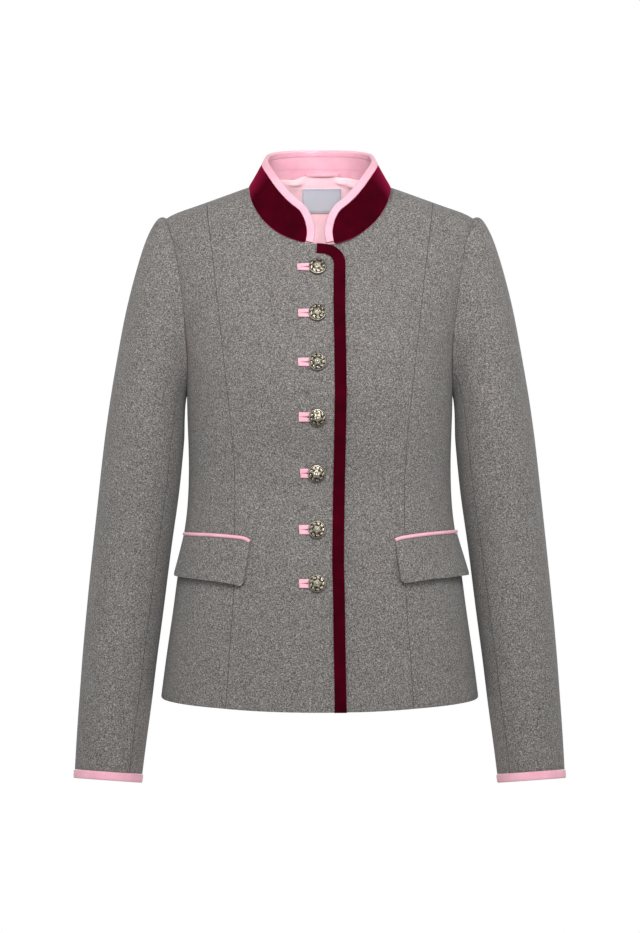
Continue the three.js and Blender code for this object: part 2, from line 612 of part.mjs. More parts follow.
function collarBinding() {
  const half = COLLAR_BINDING.half;
  const rings = EDGE_PLACES.map((t) => {
    const { point, normal, inward } = insideEdge(t, 0);
    const width = bindingWidth(t);
    const section = [
      [0, 0], [0.8, half * 0.75], [2.2, half], [width, half],
      [width, -half], [2.2, -half], [0.8, -half * 0.75],
    ];
    return section.map(([across, out]) => (
      point.clone().addScaledVector(inward, across).addScaledVector(normal, out)
    ));
  });
  const other = [...rings].reverse().slice(1).map((ring) => ring.map((p) => vec(-p.x, p.y, p.z)));
  return band([...rings, ...other], false);
}

add("collar_binding", collarBinding(), PINK);

// Velvet band along the closing edge --------------------------------------------------------

// A place on the right front's face at a distance out from it
function onFace(x, z, out) {
  const turn = turnAt(x, z);
  const normal = bodyNormal(turn, z);
  return { point: bodyPoint(turn, z).addScaledVector(normal, out), normal };
}

// The band follows the right front's edge: its short top, the round corner and the long fall
function edgeBand() {
  const { reach, corner } = OVERLAP;
  const edge = [BAND.start, 3, 9, reach - corner].map((x) => ({ x, z: lapTop(OVERLAP, Math.max(0, x)) }));
  for (const t of steps(5).slice(1)) {
    const x = reach - corner * (1 - Math.sin(t * Math.PI / 2));
    edge.push({ x, z: lapTop(OVERLAP, x) });
  }
  const drop = heights(hemAt(0) - BAND.proud, lapTop(OVERLAP, reach)).reverse().slice(1);
  edge.push(...drop.map((z) => ({ x: reach, z })));
  const grid = edge.map((here, i) => {
    const last = edge[Math.max(0, i - 1)];
    const next = edge[Math.min(edge.length - 1, i + 1)];
    const inward = new THREE.Vector2(last.z - next.z, next.x - last.x).normalize().negate();
    const width = lerp(BAND.topWidth, BAND.width, clamp((i - 2) / 5, 0, 1));
    return [1, 0.5, 0].map((share) => {
      const inset = width * share - BAND.proud;
      return onFace(here.x + inward.x * inset, here.z + inward.y * inset, SEAM_GAP + BAND.thick);
    });
  });
  return wall(grid, BAND.thick, 0);
}

add("front_edge_band", edgeBand(), VELVET);

// Buttonholes and buttons --------------------------------------------------------------------

// Two pink welts closed at both ends round a slit, which widens where the shank goes through
function buttonhole({ z, x, stand, from, end }) {
  const half = HOLE.height / 2;
  const shape = new THREE.Shape();
  shape.moveTo(from, -end / 2);
  shape.lineTo(HOLE.to, -half);
  shape.lineTo(HOLE.to, half);
  shape.lineTo(from, end / 2);
  const slit = HOLE.slit / 2;
  const eye = BUTTON.shank + 0.35;
  const opening = new THREE.Path();
  opening.moveTo(from + 2.5, -slit);
  opening.lineTo(x - eye, -slit);
  opening.absarc(x, 0, eye, Math.PI + 0.25, 3 * Math.PI - 0.25, false);
  opening.lineTo(from + 2.5, slit);
  shape.holes.push(opening);
  const cloth = { depth: HOLE.thick, bevelEnabled: false, curveSegments: 5 };
  const geometry = new THREE.ExtrudeGeometry(shape, cloth);
  geometry.rotateX(Math.PI / 2);
  return seated(geometry, z, stand);
}

// Turns a geometry made flat at the face to the face's slope at a height
function seated(geometry, z, out) {
  const { point, normal } = onFace(0, z, out);
  geometry.rotateX(Math.atan2(-normal.z, -normal.y));
  geometry.translate(0, point.y, point.z);
  return geometry;
}

// Domed button with a rim, a ring groove and a shank that goes into the buttonhole
function button({ z, x, stand }) {
  const { radius, rise, shank } = BUTTON;
  const seat = stand + HOLE.thick + SEAM_GAP;
  const profile = [
    [0, stand], [shank, stand], [shank, seat + 1], [radius - 1.4, seat + 0.2], [radius, seat + 0.9],
    [radius, seat + 1.7], [radius - 1.3, seat + 2.3], [radius - 2.6, seat + 3.6], [radius * 0.45, seat + 5.5],
    [0, seat + rise],
  ].map(([r, h]) => new THREE.Vector2(r, h));
  const geometry = new THREE.LatheGeometry(profile, 12);
  geometry.rotateX(Math.PI);
  geometry.translate(x, 0, 0);
  return seated(geometry, z, 0);
}

BUTTON_PLACES.forEach((place, i) => {
  add(`buttonhole_${i + 1}`, buttonhole(place), PINK);
  add(`button_${i + 1}`, button(place), METAL);
});

// Pocket flaps -------------------------------------------------------------------------------

// A place of a flap: share along its top edge, from the middle to the side, and distance down
function flapPlace(flap, share, down) {
  const innerTurn = turnAt(flap.inner, flap.innerTop);
  const outerTurn = flap.outer * DEGREE;
  const turn = lerp(innerTurn, outerTurn, share);
  const out = (Math.sin(turn) - Math.sin(innerTurn)) / (Math.sin(outerTurn) - Math.sin(innerTurn));
  const dip = flap.dip * Math.max(0, 1 - share / FLAP_CLOTH.dipTo) ** 2;
  const top = lerp(flap.innerTop, flap.outerTop, out) + FLAP_CLOTH.crown * Math.sin(Math.PI * out) - dip;
  const lean = lerp(flap.innerLean, flap.outerLean, share) * DEGREE;
  return { turn: turn + lean * down / flap.drop, z: top - down };
}

function flapGrid(flap) {
  const { length, wall: thick, corner, topLift } = FLAP_CLOTH;
  const nearEnd = [0, 0.05, 0.3, 1].map((share) => corner * share);
  const middle = steps(7).map((t) => lerp(corner, length - corner, t)).slice(1, -1);
  const places = [...nearEnd, ...middle, ...nearEnd.map((end) => length - end).reverse()];
  return places.map((along) => {
    const share = along / length;
    const end = Math.min(along, length - along);
    const cut = end < corner ? corner - Math.sqrt(corner ** 2 - (corner - end) ** 2) : 0;
    return steps(4).map((row) => {
      const down = lerp(lerp(flap.drop, flap.outerDrop, share) - cut, 2.4, row);
      const { turn, z } = flapPlace(flap, share, down);
      const at = onBody(turn, z);
      const lift = lerp(topLift, flap.lift, Math.pow(down / flap.drop, 1.3));
      at.point.addScaledVector(at.normal, lift + thick);
      return at;
    });
  });
}

// The piping lies in the seam over the flap
function pipingGrid(flap) {
  return steps(14).map((t) => {
    const share = t < 0.25 ? t * t / 0.25 * 0.5 + t * 0.5 : t;
    const { turn, z } = flapPlace(flap, share, 0);
    const ahead = flapPlace(flap, share + 0.02, 0);
    const behind = flapPlace(flap, share - 0.02, 0);
    const at = onBody(turn, z);
    const along = bodyPoint(ahead.turn, ahead.z).sub(bodyPoint(behind.turn, behind.z)).normalize();
    const up = along.clone().cross(at.normal).negate().normalize();
    const centre = at.point.addScaledVector(at.normal, SEAM_GAP + PIPING);
    return steps(7).slice(1).map((s) => centre.clone()
      .addScaledVector(at.normal, PIPING * Math.sin(s * 2 * Math.PI))
      .addScaledVector(up, PIPING * Math.cos(s * 2 * Math.PI)));
  });
}

const rightPiping = pipingGrid(FLAPS.right).map((ring) => ring.map((p) => vec(-p.x, p.y, p.z)));
add("flap_left", wall(flapGrid(FLAPS.left), FLAP_CLOTH.wall, 0), CLOTH);
add("flap_right", wall(mirrored(flapGrid(FLAPS.right)), FLAP_CLOTH.wall, 0), CLOTH);
add("flap_piping_left", band(pipingGrid(FLAPS.left), false), PINK);
add("flap_piping_right", band(rightPiping, false), PINK);

// Back neck: lining, label and hanger loop ---------------------------------------------------

// Places inside the back, at a depth below the outer face
function insideBack(x, z, depth) {
  const at = onBody(turnAt(x, z, true), z);
  at.point.addScaledVector(at.normal, -depth);
  return at;
}

// The lining's outer points are the back panels' own points, moved in. Its top edge goes on up
// to the collar's foot.
function liningGrid() {
  const half = back.slice(LINING.columnsLeft).map((column) => {
    const rows = column.slice(LINING.bottomRow).map((at) => ({
      point: at.point.clone().addScaledVector(at.normal, -WALL - SEAM_GAP),
      normal: at.normal,
    }));
    const [below, top] = rows.slice(-2).map(({ point }) => point);
    const rise = LINING.rise * smooth(clamp((NECK_HALF - 24 - top.x) / 12, 0, 1));
    if (rise > 0) top.add(top.clone().sub(below).setLength(rise));
    return rows;
  });
  return [...half, ...mirrored(half).slice(1)];
}

function patchGrid(columns, rows, depthAt, place) {
  return columns.map((across) => rows.map((up) => insideBack(place.x - across, up, depthAt(across))));
}

const liningFace = WALL + SEAM_GAP + LINING.thick;
const labelDepth = () => liningFace + LABEL.stand;
const labelColumns = steps(4).map((t) => lerp(-LABEL.half, LABEL.half, t));
const labelRows = steps(2).map((t) => lerp(LABEL.bottom, LABEL.top, t));
const loopColumns = steps(8).map((t) => lerp(-LOOP.half, LOOP.half, t));
const loopRows = [LOOP.top - LOOP.drop, LOOP.top];
const loopDepth = (across) => LOOP.depth + LOOP.stand * (1 - (across / LOOP.half) ** 2);

add("lining_back_neck", wall(liningGrid(), LINING.thick, 0), SATIN);
add("neck_label", wall(patchGrid(labelColumns, labelRows, labelDepth, LABEL), LABEL.thick, 0), LABEL_CLOTH);
add("hanger_loop", wall(patchGrid(loopColumns, loopRows, loopDepth, LOOP), LOOP.thick, 0), PINK);

export default jacket;
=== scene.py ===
import math

import bpy
import numpy as np
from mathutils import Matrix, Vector
from mathutils.bvhtree import BVHTree


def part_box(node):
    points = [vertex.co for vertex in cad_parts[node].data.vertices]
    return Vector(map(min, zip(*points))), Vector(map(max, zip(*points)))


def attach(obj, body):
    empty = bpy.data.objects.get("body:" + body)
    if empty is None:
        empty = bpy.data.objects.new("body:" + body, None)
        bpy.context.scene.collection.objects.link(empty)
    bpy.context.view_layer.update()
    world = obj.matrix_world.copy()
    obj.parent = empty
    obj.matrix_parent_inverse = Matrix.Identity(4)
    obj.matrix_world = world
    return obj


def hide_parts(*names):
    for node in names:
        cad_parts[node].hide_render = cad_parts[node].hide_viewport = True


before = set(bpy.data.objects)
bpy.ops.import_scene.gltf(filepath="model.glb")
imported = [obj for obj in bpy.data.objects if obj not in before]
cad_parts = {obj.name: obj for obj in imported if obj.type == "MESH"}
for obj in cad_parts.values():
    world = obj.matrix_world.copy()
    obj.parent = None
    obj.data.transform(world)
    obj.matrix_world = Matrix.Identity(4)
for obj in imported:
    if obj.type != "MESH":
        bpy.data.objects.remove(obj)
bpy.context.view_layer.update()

# ------------------------------------------------------------------------------------------
# Body: fronts, side fronts, side backs and backs, cut from milled wool cloth with satin on
# the inside. The cut edges meet in princess, side and centre-back seams, pressed open.
# ------------------------------------------------------------------------------------------

MM = 0.001


def deselect():
    if bpy.context.mode != "OBJECT":
        bpy.ops.object.mode_set(mode="OBJECT")
    bpy.ops.object.select_all(action="DESELECT")


def pick(piece):
    """Selects one piece alone and makes it the active one."""
    deselect()
    piece.select_set(True)
    bpy.context.view_layer.objects.active = piece


def colour(code):
    """A colour written as sRGB hex, turned to linear values."""
    parts = [int(code[i : i + 2], 16) / 255 for i in (0, 2, 4)]
    linear = [c / 12.92 if c <= 0.04045 else ((c + 0.055) / 1.055) ** 2.4 for c in parts]
    return (*linear, 1.0)


def set_inputs(material, node, sockets):
    """Gives a node its inputs: a plain value, or the output of another node to link."""
    for name, value in sockets.items():
        if isinstance(value, bpy.types.NodeSocket):
            material.node_tree.links.new(value, node.inputs[name])
        else:
            node.inputs[name].default_value = value


def add_node(material, kind, settings=None, sockets=None):
    """Adds one node to a material."""
    made = material.node_tree.nodes.new("ShaderNode" + kind)
    for name, value in (settings or {}).items():
        setattr(made, name, value)
    set_inputs(material, made, sockets or {})
    return made


def add_noise(material, place, scale, detail, roughness=0.5):
    """Adds noise over a piece, finer with a larger scale. Returns its values."""
    sockets = {"Vector": place, "Scale": scale, "Detail": detail, "Roughness": roughness}
    return add_node(material, "TexNoise", sockets=sockets).outputs["Fac"]


def mix_values(material, share, first, second):
    """Mixes two sets of values."""
    sockets = {0: share, 2: first, 3: second}
    return add_node(material, "Mix", {"data_type": "FLOAT"}, sockets).outputs[0]


def mix_colours(material, share, first, second, blend="MIX"):
    """Mixes two colours, or multiplies them."""
    settings = {"data_type": "RGBA", "blend_type": blend}
    return add_node(material, "Mix", settings, {0: share, 6: first, 7: second}).outputs[2]


def add_bump(material, strength, distance, height):
    """Adds fine relief to the shading. Returns its normals."""
    sockets = {"Strength": strength, "Distance": distance, "Height": height}
    return add_node(material, "Bump", sockets=sockets).outputs["Normal"]


def add_ramp(material, factor, stops):
    """Adds a colour ramp: stops are (place, hex colour)."""
    ramp = add_node(material, "ValToRGB", sockets={"Fac": factor})
    while len(ramp.color_ramp.elements) < len(stops):
        ramp.color_ramp.elements.new(0.5)
    for element, (place, code) in zip(ramp.color_ramp.elements, stops):
        element.position = place
        element.color = colour(code)
    return ramp.outputs["Color"]


def new_material(name):
    """An empty node material with its surface shader. Returns both."""
    material = bpy.data.materials.new(name)
    material.use_nodes = True
    return material, material.node_tree.nodes["Principled BSDF"]


# Milled wool, a melange of light and dark fibres: matt, softly speckled, with a short nap.
# The fibre clumps are drawn about 1.5 mm across, a little coarser than real, so they show.
wool, shader = new_material("milled_wool_melange")
place = add_node(wool, "TexCoord").outputs["Object"]
clumps = add_noise(wool, place, 700.0, 3.0, 0.7)
fibres = add_noise(wool, place, 1300.0, 2.0, 0.7)
clouds = add_noise(wool, place, 42.0, 3.0, 0.6)
tints = add_noise(wool, place, 300.0, 2.0)
flecks = mix_values(wool, 0.3, clumps, fibres)
GREYS = [
    (0.38, "3C3A38"), (0.46, "5A5755"), (0.52, "73706D"), (0.58, "8B8885"), (0.66, "ADAAA7"),
]
melange = add_ramp(wool, flecks, GREYS)
warm = add_ramp(wool, tints, [(0.36, "F6FAFF"), (0.5, "FFFFFF"), (0.64, "FFF8F2")])
tinted = mix_colours(wool, 0.8, melange, warm, "MULTIPLY")
cloudy = add_ramp(wool, clouds, [(0.35, "F4F4F4"), (0.65, "FFFFFF")])
set_inputs(wool, shader, {
    "Base Color": mix_colours(wool, 0.8, tinted, cloudy, "MULTIPLY"),
    "Normal": add_bump(wool, 0.45, 0.5 * MM, flecks),
    "Roughness": 0.95,
    "Sheen Weight": 0.12,
    "Sheen Roughness": 0.6,
    "Specular IOR Level": 0.25,
})

# The same wool, darkened to half, on the folds at the seams: painted shade for the dark line of a
# seam.
SEAM_SHADE = 0.5
wool_painted_seam_shade = wool.copy()
wool_painted_seam_shade.name = "milled_wool_painted_seam_shade"
for node in wool_painted_seam_shade.node_tree.nodes:
    if node.type == "VALTORGB" and len(node.color_ramp.elements) == len(GREYS):
        for element in node.color_ramp.elements:
            element.color = (*(c * SEAM_SHADE for c in element.color[:3]), 1.0)

# Satin lining: smooth warp floats give it a soft, silky highlight.
satin, shader = new_material("satin_lining")
place = add_node(satin, "TexCoord").outputs["Object"]
floats = add_noise(satin, place, 35.0, 2.0)
slubs = add_noise(satin, place, 900.0, 1.0)
set_inputs(satin, shader, {
    "Base Color": add_ramp(satin, floats, [(0.3, "F8CAD3"), (0.7, "FFDAE1")]),
    "Normal": add_bump(satin, 0.08, 0.3 * MM, slubs),
    "Roughness": 0.42,
    "Sheen Weight": 0.2,
    "Sheen Roughness": 0.4,
})

# A face looks inward where the cosine between its normal and the way out is under this.
INWARD = -0.2

# No wall of cloth is thicker than this (mm).
THICKEST_WALL = 2.6


def cloth_on_solid(node, name, cloth, cuts=2, sharp=50, inner=None, outward=None):
    """One piece of cloth on its solid's form. The points are merged, the faces made four-sided,
    and the surface is rounded so that it still passes through those points. With an inner cloth,
    the side that looks inward gets that one."""
    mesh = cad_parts[node].data.copy()
    mesh.materials.clear()
    mesh.materials.append(cloth)
    piece = bpy.data.objects.new(name, mesh)
    bpy.context.scene.collection.objects.link(piece)
    pick(piece)
    bpy.ops.object.mode_set(mode="EDIT")
    bpy.ops.mesh.select_mode(type="EDGE")
    bpy.ops.mesh.select_all(action="SELECT")
    bpy.ops.mesh.remove_doubles(threshold=0.02 * MM)
    bpy.ops.mesh.select_all(action="SELECT")
    bend, skew = math.radians(40), math.radians(100)
    bpy.ops.mesh.tris_convert_to_quads(face_threshold=bend, shape_threshold=skew)
    bpy.ops.mesh.select_all(action="DESELECT")
    bpy.ops.mesh.edges_select_sharp(sharpness=math.radians(sharp))
    bpy.ops.transform.edge_crease(value=1.0)
    bpy.ops.object.mode_set(mode="OBJECT")
    if "sharp_face" in mesh.attributes:
        mesh.attributes.remove(mesh.attributes["sharp_face"])
    if inner:
        mesh.materials.append(inner)
        mark_inside(piece, outward)
    rounded = piece.modifiers.new("rounded", "SUBSURF")
    rounded.levels = rounded.render_levels = cuts
    count = len(mesh.vertices)
    wanted = points_of(piece)
    # Rounding draws the points in, so they are moved out by as much, in two rounds.
    for _ in range(2):
        seen = piece.evaluated_get(bpy.context.evaluated_depsgraph_get()).data
        got = np.empty(len(seen.vertices) * 3)
        seen.vertices.foreach_get("co", got)
        place_points(piece, points_of(piece) + wanted - got.reshape(-1, 3)[:count])
    bpy.ops.object.modifier_apply(modifier="rounded")
    return piece


def mark_inside(piece, outward):
    """Gives the inside of a wall its second cloth. The narrow faces of the rim keep the first."""
    points = points_of(piece)
    for face in piece.data.polygons:
        corners = points[list(face.vertices)]
        shortest = np.linalg.norm(corners - np.roll(corners, 1, axis=0), axis=1).min()
        facing = float(outward(corners.mean(axis=0)[None])[0] @ np.array(face.normal))
        face.material_index = int(facing < INWARD and shortest > THICKEST_WALL * MM)


def points_of(piece):
    flat = np.empty(len(piece.data.vertices) * 3)
    piece.data.vertices.foreach_get("co", flat)
    return flat.reshape(-1, 3)


def place_points(piece, points):
    piece.data.vertices.foreach_set("co", points.reshape(-1))
    piece.data.update()


def turned_edge(piece, width=0.6, angle=50, fold=None, outward=None):
    """Rounds the cut edges over (mm), as cloth that is turned in at a seam. Outside, the fold can
    get a copy of the cloth with painted light: painted shade at wool seams, painted sheen on velvet
    rims. Inside it keeps the second one."""
    pick(piece)
    edge = piece.modifiers.new("turned edge", "BEVEL")
    if fold:
        piece.data.materials.append(fold)
        edge.material = len(piece.data.materials) - 1
    edge.width = width * MM
    edge.segments = 2
    edge.limit_method = "ANGLE"
    edge.angle_limit = math.radians(angle)
    bpy.ops.object.modifier_apply(modifier="turned edge")
    if fold and outward:
        points = points_of(piece)
        for face in piece.data.polygons:
            if face.material_index == len(piece.data.materials) - 1:
                middle = points[list(face.vertices)].mean(axis=0)[None]
                if float(outward(middle)[0] @ np.array(face.normal)) < INWARD:
                    face.material_index = 1
    bpy.ops.object.shade_smooth_by_angle(angle=math.radians(60))


def move_rim(piece, outward, reach=0.17, whole=False):
    """Moves the rim of a wall sideways (mm), only its inner side or the whole of it. The seam
    allowances close each seam from the inside, so there the inner rim reaches to its neighbour."""
    points = points_of(piece)
    rim, inner = np.zeros_like(points), np.zeros(len(points), bool)
    for face in piece.data.polygons:
        corners = list(face.vertices)
        facing = float(outward(points[corners].mean(axis=0)[None])[0] @ np.array(face.normal))
        if facing < -0.5:
            inner[corners] = True
        elif facing < 0.5:
            rim[corners] += np.array(face.normal)
    length = np.linalg.norm(rim, axis=1)
    moved = (inner | whole) & (length > 0)
    points[moved] += rim[moved] / length[moved, None] * reach * MM
    place_points(piece, points)


# The middle of the body, which directions outward start from: its width as a share of the
# jacket's, its place from front to back, and its top, under the shoulders.
CORE_WIDTH, CORE_Y, CORE_TOP = 0.55, 4 * MM, -140 * MM


def from_torso(points):
    """Directions out of the body of the jacket."""
    x, _, z = points.T
    core = [x * CORE_WIDTH, np.full(len(x), CORE_Y), np.minimum(z, CORE_TOP)]
    out = points - np.stack(core, axis=1)
    return out / np.linalg.norm(out, axis=1, keepdims=True)


def crease(piece, outward, rows):
    """Soft creases at listed places. A row is two ends (mm), a half width and a rise (mm). Each
    crease tapers off at both ends."""
    points = points_of(piece)
    out = outward(points)
    rise = np.zeros(len(points))
    for start, end, width, height in rows:
        a, b = np.array(start) * MM, np.array(end) * MM
        along = b - a
        share = np.clip((points - a) @ along / (along @ along), 0.0, 1.0)
        gap = np.linalg.norm(points - (a + share[:, None] * along), axis=1) / (width * MM)
        taper = np.sin(np.pi * np.clip(share * 0.9 + 0.05, 0, 1)) ** 0.7
        rise += height * MM * np.exp(-(gap**2)) * taper
    place_points(piece, points + out * rise[:, None])


# Creases of the body: drag lines at the waist, between the buttons, under the arms and over
# the back.
BODY_CREASES = [
    ((20, -112, -262), (96, -84, -296), 9, -0.9),
    ((26, -112, -281), (104, -80, -322), 10, 0.8),
    ((30, -108, -322), (92, -88, -344), 9, -0.7),
    ((-22, -112, -286), (-92, -86, -318), 9, -0.7),
    ((-24, -110, -310), (-84, -90, -350), 10, 0.7),
    ((8, -112, -356), (20, -112, -372), 8, 0.6),
    ((0, -106, -418), (22, -108, -432), 9, -0.7),
    ((30, -110, -474), (72, -100, -500), 12, -0.9),
    ((36, -110, -530), (120, -84, -548), 13, 0.6),
    ((-30, -110, -520), (-110, -90, -548), 13, -0.5),
    ((132, -30, -244), (112, -66, -292), 10, 0.7),
    ((-132, -30, -240), (-108, -70, -286), 10, -0.7),
    ((-60, 96, -240), (-20, 88, -330), 14, 0.9),
    ((54, 96, -262), (14, 86, -346), 13, -0.8),
    ((-92, 80, -330), (-50, 92, -366), 11, -0.8),
    ((88, 82, -318), (40, 92, -352), 12, 0.8),
    ((100, 76, -352), (140, 30, -380), 11, -0.8),
    ((-98, 78, -362), (-142, 26, -392), 11, 0.8),
    ((-70, 104, -480), (-20, 104, -560), 16, 0.8),
    ((66, 104, -500), (92, 94, -570), 15, -0.8),
]

# The velvet band draws its edges in, and the closing edge with them (mm).
DRAWN_IN = 0.45

# The closing edge hangs a little unevenly: height and shift to the side, in mm.
CLOSING_EDGE = [
    (-610, 0.65), (-582, 0.45), (-517, -0.65), (-461, -1.35), (-433, -2.15), (-405, -2.05),
    (-349, -1.25), (-293, -0.15), (-238, 0.65), (-182, 0.05), (-137, -0.75), (-90, -0.25),
]


def fade(places, start, end):
    """A share that goes from 0 at the start (mm) to 1 at the end."""
    return np.clip((places / MM - start) / (end - start), 0, 1)


def sway(piece, drawn=0.0):
    """Moves the closing edge, and the cloth beside it, as it hangs. The edge can be drawn in
    by some mm."""
    points = points_of(piece)
    x, _, z = points.T
    heights, shifts = np.array(CLOSING_EDGE).T * MM
    # The cloth moves in full from 15 mm left of the middle on. Only the edge is drawn in.
    points[:, 0] += np.interp(z, heights, shifts) * fade(x, 6, 15) - drawn * MM * fade(x, 20, 29)
    place_points(piece, points)


# Solid, rounds of cutting its faces, flat size (m) and area (m2).
BODY_PIECES = [
    ("front_right", 3, (0.157, 0.60), 0.0785),
    ("front_left", 3, (0.153, 0.60), 0.0765),
    ("side_front_left", 2, (0.136, 0.58), 0.0555),
    ("side_front_right", 2, (0.136, 0.58), 0.0555),
    ("side_back_left", 2, (0.146, 0.60), 0.0640),
    ("side_back_right", 2, (0.146, 0.60), 0.0640),
    ("back_left", 2, (0.125, 0.61), 0.0610),
    ("back_right", 2, (0.125, 0.61), 0.0610),
]
for node, cuts, _, _ in BODY_PIECES:
    piece = cloth_on_solid(node, node + "_cloth", wool, cuts, inner=satin, outward=from_torso)
    crease(piece, from_torso, BODY_CREASES)
    if node == "front_right":
        sway(piece, DRAWN_IN)
    move_rim(piece, from_torso)
    # The folds at the seams get painted shade.
    turned_edge(piece, fold=wool_painted_seam_shade, outward=from_torso)
    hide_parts(node)
    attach(piece, "root")

# ------------------------------------------------------------------------------------------
# Sleeves: two-piece, a wide top sleeve and a narrow under sleeve, eased into the armhole with
# a slight sleeve-head roll. The same wool, with satin inside.
# ------------------------------------------------------------------------------------------

# The middle line of the left sleeve (mm), from the armhole down to the cuff.
SLEEVE_LINE = np.array([
    (158, 0, -110), (184, 0, -160), (196, 1, -230), (202, 2, -298), (208, 4, -349),
    (214, 5, -396), (222, 1, -480), (232, -8, -570), (242, -18.5, -671),
]) * MM


def from_sleeve(points):
    """Directions out of a sleeve, left or right."""
    side = np.where(points[:, 0] > 0, 1.0, -1.0)
    height = points[:, 2]
    x, y, z = SLEEVE_LINE[::-1].T
    line = [side * np.interp(height, z, x), np.interp(height, z, y), np.minimum(height, z[-1])]
    out = points - np.stack(line, axis=1)
    return out / np.linalg.norm(out, axis=1, keepdims=True)


# Creases of the sleeves: bends inside the elbow, drag from the sleeve head, soft hollows below.
SLEEVE_CREASES = [
    ((170, -40, -300), (226, -48, -318), 9, -1.1),
    ((168, -38, -328), (222, -48, -352), 9, 1.0),
    ((174, -36, -362), (232, -46, -372), 9, -1.0),
    ((186, -40, -410), (236, -44, -398), 10, 0.8),
    ((190, -38, -452), (240, -46, -482), 12, -0.8),
    ((206, -48, -540), (238, -50, -610), 14, -0.8),
    ((176, -44, -150), (206, -46, -236), 12, -0.7),
    ((224, -30, -120), (236, -24, -232), 14, 0.6),
    ((180, 46, -330), (236, 44, -356), 11, 1.0),
    ((186, 48, -372), (240, 44, -412), 11, -1.0),
    ((196, 44, -440), (244, 36, -470), 12, 0.8),
    ((214, 30, -540), (244, 26, -620), 14, -0.8),
    ((172, 50, -170), (208, 50, -250), 13, -0.8),
]


def to_the_right(rows):
    """The same creases on the other side, a little uneven."""
    moved = []
    for k, (a, b, width, rise) in enumerate(rows):
        drop, wider, stronger = (7, -9, 4, -5, 11)[k % 5], k % 3, (1.15, 0.85)[k % 2]
        start, end = (-a[0], a[1], a[2] + drop), (-b[0], b[1], b[2] - drop)
        moved.append((start, end, width + wider, rise * stronger))
    return moved


# Solid, creases, flat size (m) and area (m2).
SLEEVE_PIECES = [
    ("top_sleeve_left", SLEEVE_CREASES, (0.235, 0.66), 0.123),
    ("under_sleeve_left", SLEEVE_CREASES, (0.105, 0.50), 0.0415),
    ("top_sleeve_right", to_the_right(SLEEVE_CREASES), (0.235, 0.66), 0.123),
    ("under_sleeve_right", to_the_right(SLEEVE_CREASES), (0.105, 0.50), 0.0415),
]
for node, rows, flat, area in SLEEVE_PIECES:
    piece = cloth_on_solid(node, node + "_cloth", wool, 2, inner=satin, outward=from_sleeve)
    crease(piece, from_sleeve, rows)
    move_rim(piece, from_sleeve)
    # The folds at the seams get painted shade.
    turned_edge(piece, fold=wool_painted_seam_shade, outward=from_sleeve)
    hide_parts(node)
    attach(piece, "root")

# ------------------------------------------------------------------------------------------
# Cuff bindings: strips of pink cotton cloth folded over the lower edge of each sleeve and
# stitched down, a little thicker than the wool.
# ------------------------------------------------------------------------------------------

# Brushed cotton: plain fine weave with a soft matt face.
cotton, shader = new_material("brushed_pink_cotton")
place = add_node(cotton, "TexCoord").outputs["Object"]
blush = add_noise(cotton, place, 60.0, 3.0)
yarns = add_noise(cotton, place, 850.0, 2.0)
shade = mix_values(cotton, 0.4, blush, yarns)
set_inputs(cotton, shader, {
    "Base Color": add_ramp(cotton, shade, [(0.3, "DA9CAD"), (0.5, "E1A6B6"), (0.7, "E8B1C0")]),
    "Normal": add_bump(cotton, 0.2, 0.3 * MM, yarns),
    "Roughness": 0.85,
    "Sheen Weight": 0.25,
    "Sheen Roughness": 0.5,
})

for side in ("left", "right"):
    node = "cuff_binding_" + side
    piece = cloth_on_solid(node, node + "_strip", cotton, 2)
    turned_edge(piece, 0.9)
    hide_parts(node)
    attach(piece, "root")

# ------------------------------------------------------------------------------------------
# Stand collar: velvet outside and pink cotton inside, with a folded cotton binding over the
# upper edge and the curved front ends. The stitches along its foot come with the lining's.
# ------------------------------------------------------------------------------------------

# Cotton velvet: a dense upright pile, dark face on, with painted sheen: its colour goes towards
# bright rose where it is seen along the pile.
velvet, shader = new_material("cotton_velvet")
place = add_node(velvet, "TexCoord").outputs["Object"]
drift = add_noise(velvet, place, 45.0, 3.0, 0.6)
pile = add_noise(velvet, place, 1500.0, 2.0)
wine = add_ramp(velvet, drift, [(0.3, "300009"), (0.55, "3A000D"), (0.75, "440011")])
# Painted sheen: a share that grows where the surface is seen at a slant, and mixes the colour
# towards bright rose.
slant = add_node(velvet, "LayerWeight", sockets={"Blend": 0.3}).outputs["Facing"]
sockets = {"Value": slant, "From Min": 0.22, "From Max": 0.85}
painted_sheen_share = add_node(velvet, "MapRange", sockets=sockets).outputs[0]
set_inputs(velvet, shader, {
    "Base Color": mix_colours(velvet, painted_sheen_share, wine, colour("9A0C40")),
    "Normal": add_bump(velvet, 0.25, 0.3 * MM, pile),
    "Roughness": 0.9,
    "Specular IOR Level": 0.03,
    "Sheen Weight": 0.2,
    "Sheen Roughness": 0.25,
    "Sheen Tint": colour("C00838"),
})

# A lighter copy of the velvet for its folded edges: painted sheen along the rims.
velvet_painted_rim_sheen = velvet.copy()
velvet_painted_rim_sheen.name = "cotton_velvet_painted_rim_sheen"
for node in velvet_painted_rim_sheen.node_tree.nodes:
    if node.type == "VALTORGB":
        for element, code in zip(node.color_ramp.elements, ("8A1A42", "9C234C", "AE2E58")):
            element.color = colour(code)

# Solid, cloth, slot, flat size (m), area (m2), how it is held, and roundness of its edges (mm).
COLLAR_PIECES = [
    ("collar_velvet", velvet, "velvet", (0.118, 0.40), 0.0143, "draped", 0.6),
    ("collar_inner", cotton, "pink_trim", (0.118, 0.39), 0.0139, "draped", 0.5),
    ("collar_binding", cotton, "pink_trim", (0.017, 0.43), None, "folded", 1.0),
]


# The neck seam: half its width, its depth in front and its height at the back.
NECK_HALF, NECK_DEPTH, NECK_RISE = 80 * MM, 70 * MM, 17 * MM

# How far the velvet's foot rolls down (mm): all round, more in front, and more on the left front,
# which lies under. It goes outward by a share of that.
ROLL, ROLL_IN_FRONT, ROLL_UNDER, ROLL_OUT = 0.7, 0.5, 1.5, 0.42


